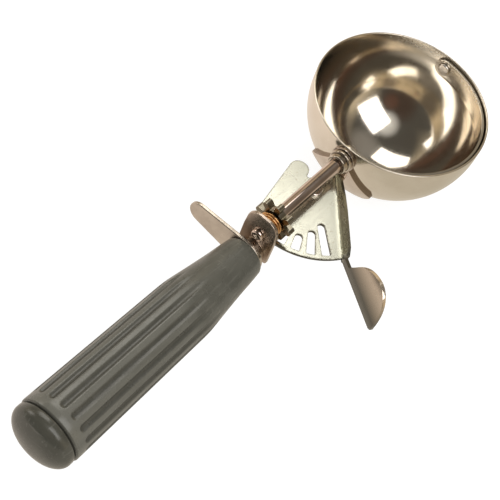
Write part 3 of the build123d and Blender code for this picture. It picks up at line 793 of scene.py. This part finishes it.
# ================================================================= peened end of the spindle
def between_points(corner):
    """True for the corners of the star's base that are drawn in between its points."""
    around = math.atan2(corner.z, corner.y)
    return math.hypot(corner.y, corner.z) > star_reach / 2 and abs(math.sin(2 * around)) > 0.7


def build_peened_star():
    """Four-pointed star that peening leaves on the spindle's head."""
    star_x = spindle_low.x - star_sink
    turn = (0, math.radians(-90), 0)
    shape = dict(vertices=8, radius1=star_reach, radius2=star_tip, depth=star_height)
    bpy.ops.mesh.primitive_cone_add(location=(star_x, 0, 0), rotation=turn, **shape)
    piece = settle(bpy.context.object)
    piece.name = "spindle_peening"
    select_where(piece, "VERT", between_points)
    bpy.ops.transform.resize(value=(1, star_waist, star_waist), center_override=(star_x, 0, 0))
    bpy.ops.object.mode_set(mode="OBJECT")
    face_outwards(piece)
    bevel(piece, 0.06 * MM, segments=2, angle=20)
    smooth(piece, 30)
    piece.data.materials.append(fitting_steel)
    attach(piece, body_of["spindle"])


# ================================================================= pieces that keep the CAD's shape
def dress(node, material, rounding):
    """Merged copy of a CAD node with its edges rounded."""
    piece = merged_copy(node)
    round_edges(piece, rounding)
    finish_piece(piece, material, node)


def build_spring():
    """Merged copy of the coil, which has no sharp edge but the two ends of its wire."""
    piece = merged_copy("return_spring", flatness=0.0)
    smooth(piece, 35)
    finish_piece(piece, spring_bronze, "return_spring")


# node, material and rounding of its edges in millimetres
dressed_nodes = [
    ("bowl_saddle", saddle_steel, 0.2),
    ("frame_bar", fitting_steel, 0.2),
    ("front_bush", bush_steel, 0.2),
    ("end_bracket", guard_steel, 0.18),
    ("rear_bush", fitting_steel, 0.15),
    ("finger_rest", rest_steel, 0.25),
    ("ferrule", fitting_steel, 0.3),
    ("tang_washer", fitting_steel, 0.15),
    ("tang_nut", fitting_steel, 0.2),
    ("thumb_lever", lever_steel, 0.34),
    ("pivot_washer", fitting_steel, 0.15),
    ("lever_rivet", pin_steel, 0.1),
    ("spindle", spindle_steel, 0.12),
    ("spindle_collar", bush_steel, 0.2),
    ("pinion", pinion_steel, 0.25),
    ("pinion_pin", fitting_steel, 0.15),
    ("scraper_blade", bowl_steel, 0.12),
    ("blade_nut", fitting_steel, 0.2),
    ("blade_pin", pin_steel, 0.15),
]

build_bowl()
build_grip()
build_cap()
build_peened_star()
for node, material, rounding in dressed_nodes:
    dress(node, material, rounding * MM)
build_spring()

# ================================================================= floor, world and lamps
studio_centre = Vector((-60 * MM, 0, 0))
floor_z = min(bowl_low.z, grip_low.z) - 0.2 * MM
floor_size = 4.0
lamp_distance = 1.2
fill_strength = 0.42

# soft patches of the room: azimuth, elevation, full within and gone past, all in degrees, and colour
room_patches = [
    (-160, 38, 12, 32, (0.069, 0.048, 0.036)),
    (-148, 39, 2, 13, (0.115, 0.062, 0.042)),
    (-150, 69, 3, 21, (0.69, 0.681, 0.647)),
    (-18, 62, 4, 26, (0.259, 0.241, 0.216)),
    (-42, 22, 12, 34, (0.172, 0.147, 0.116)),
    (62, 18, 6, 22, (0.31, 0.259, 0.198)),
]


def toward(azimuth, elevation):
    """Unit vector from the studio's centre, with azimuth 0 along +X and both angles in degrees."""
    turn, rise = math.radians(azimuth), math.radians(elevation)
    return Vector((math.cos(turn) * math.cos(rise), math.sin(turn) * math.cos(rise), math.sin(rise)))


def soft_box(name, azimuth, elevation, roll, width, height, brightness, colour):
    """Rectangular soft box of a given brightness that faces the studio's centre, rolled about its axis."""
    data = bpy.data.lights.new(name, "AREA")
    data.shape = "RECTANGLE"
    data.size = width
    data.size_y = height
    data.energy = brightness * math.pi * width * height
    data.color = colour
    piece = bpy.data.objects.new(name, data)
    bpy.context.scene.collection.objects.link(piece)
    away = toward(azimuth, elevation)
    level = Vector((0, 0, 1)).cross(away).normalized()
    upright = away.cross(level)
    tilt = math.radians(roll)
    across = level * math.cos(tilt) + upright * math.sin(tilt)
    along = away.cross(across)
    turn = Matrix((across, along, away)).transposed().to_4x4()
    piece.matrix_world = Matrix.Translation(studio_centre + away * lamp_distance) @ turn


def soft_patch(tree, direction, azimuth, elevation, inner, outer):
    """Mask of a soft round patch of the room, full within one angle and gone past the other."""
    match = dot_product(tree, direction, toward(azimuth, elevation))
    gone = math.cos(math.radians(outer))
    full = math.cos(math.radians(inner))
    return spread(tree, match, gone, full, easing="SMOOTHSTEP")


def build_floor():
    """Pale floor: white with the object's faint shadow, and a warm white where metal mirrors it."""
    bpy.ops.mesh.primitive_plane_add(size=floor_size, location=(studio_centre.x, 0, floor_z))
    floor = settle(bpy.context.object)
    floor.name = "studio_floor"
    material, tree, shader = new_material("floor_white")
    shader.inputs["Base Color"].default_value = (0.93, 0.93, 0.93, 1)
    shader.inputs["Roughness"].default_value = 0.9
    shader.inputs["Specular IOR Level"].default_value = 0.0
    _, y, _ = place_parts(tree)
    side = spread(tree, y, -40 * MM, 60 * MM)
    warm = tinted(tree, side, (0.603, 0.547, 0.448), (0.948, 0.828, 0.724))
    mirrored = flat_light(tree, "ShaderNodeEmission", warm)
    shadowed = tree.nodes.new("ShaderNodeBsdfDiffuse")
    shadowed.inputs["Color"].default_value = (0.34, 0.34, 0.34, 1)
    seen = tree.nodes.new("ShaderNodeAddShader")
    tree.links.new(shadowed.outputs["BSDF"], seen.inputs[0])
    tree.links.new(flat_light(tree, "ShaderNodeEmission", (0.84, 0.84, 0.84)), seen.inputs[1])
    unseen = by_ray(tree, "Is Glossy Ray", shader.outputs["BSDF"], mirrored)
    surface = by_ray(tree, "Is Camera Ray", unseen, seen.outputs["Shader"])
    tree.links.new(surface, tree.nodes["Material Output"].inputs["Surface"])
    floor.data.materials.append(material)


def build_world():
    """White behind the object, even fill light, and a dim room with a pale low wall and patches for gloss."""
    world = bpy.data.worlds.new("studio")
    bpy.context.scene.world = world
    world.use_nodes = True
    tree = world.node_tree
    tree.nodes.clear()
    output = tree.nodes.new("ShaderNodeOutputWorld")
    direction = tree.nodes.new("ShaderNodeTexCoord").outputs["Generated"]
    x, _, z = parts_of(tree, direction)
    # parts of the unit direction: the pale wall fades out upwards, and towards the back
    low_wall = spread(tree, z, 0.76, 0.50)
    far_wall = spread(tree, x, -0.6, 0.1)
    pale = combine(tree, "MULTIPLY", low_wall, far_wall)
    room = tinted(tree, pale, (0.086, 0.079, 0.067), (0.802, 0.672, 0.466))
    for azimuth, elevation, inner, outer, colour in room_patches:
        room = tinted(tree, soft_patch(tree, direction, azimuth, elevation, inner, outer), room, colour)
    mirrored = flat_light(tree, "ShaderNodeBackground", room)
    fill = flat_light(tree, "ShaderNodeBackground", (1, 1, 1), fill_strength)
    behind = flat_light(tree, "ShaderNodeBackground", (1, 1, 1))
    unseen = by_ray(tree, "Is Glossy Ray", fill, mirrored)
    tree.links.new(by_ray(tree, "Is Camera Ray", unseen, behind), output.inputs["Surface"])


build_floor()
build_world()
soft_box(
    "left_soft_box", azimuth=-107, elevation=58, roll=12,
    width=0.68, height=0.90, brightness=2.9, colour=(1.0, 0.99, 0.97),
)
soft_box(
    "right_soft_box", azimuth=48, elevation=55, roll=-43,
    width=0.80, height=0.48, brightness=2.8, colour=(1.0, 0.97, 0.90),
)
soft_box(
    "low_soft_box", azimuth=106, elevation=25, roll=40,
    width=0.42, height=0.40, brightness=2.5, colour=(1.0, 0.97, 0.93),
)

# ================================================================= camera
image_width = 500
focal_pixels = 1139.02
camera_place = Vector((-307.37, -82.35, 331.01)) * MM
camera_right = Vector((0.6326, -0.7408, 0.2259))
camera_down = Vector((-0.5662, -0.6414, -0.5177))
camera_ahead = camera_right.cross(camera_down)
camera_data = bpy.data.cameras.new("camera")
camera_data.sensor_width = 36
camera_data.lens = focal_pixels * camera_data.sensor_width / image_width
camera = bpy.data.objects.new("camera", camera_data)
bpy.context.scene.collection.objects.link(camera)
camera_turn = Matrix((camera_right, -camera_down, -camera_ahead)).transposed().to_4x4()
camera.matrix_world = Matrix.Translation(camera_place) @ camera_turn
bpy.context.scene.camera = camera
bpy.context.scene.view_settings.view_transform = "Standard"
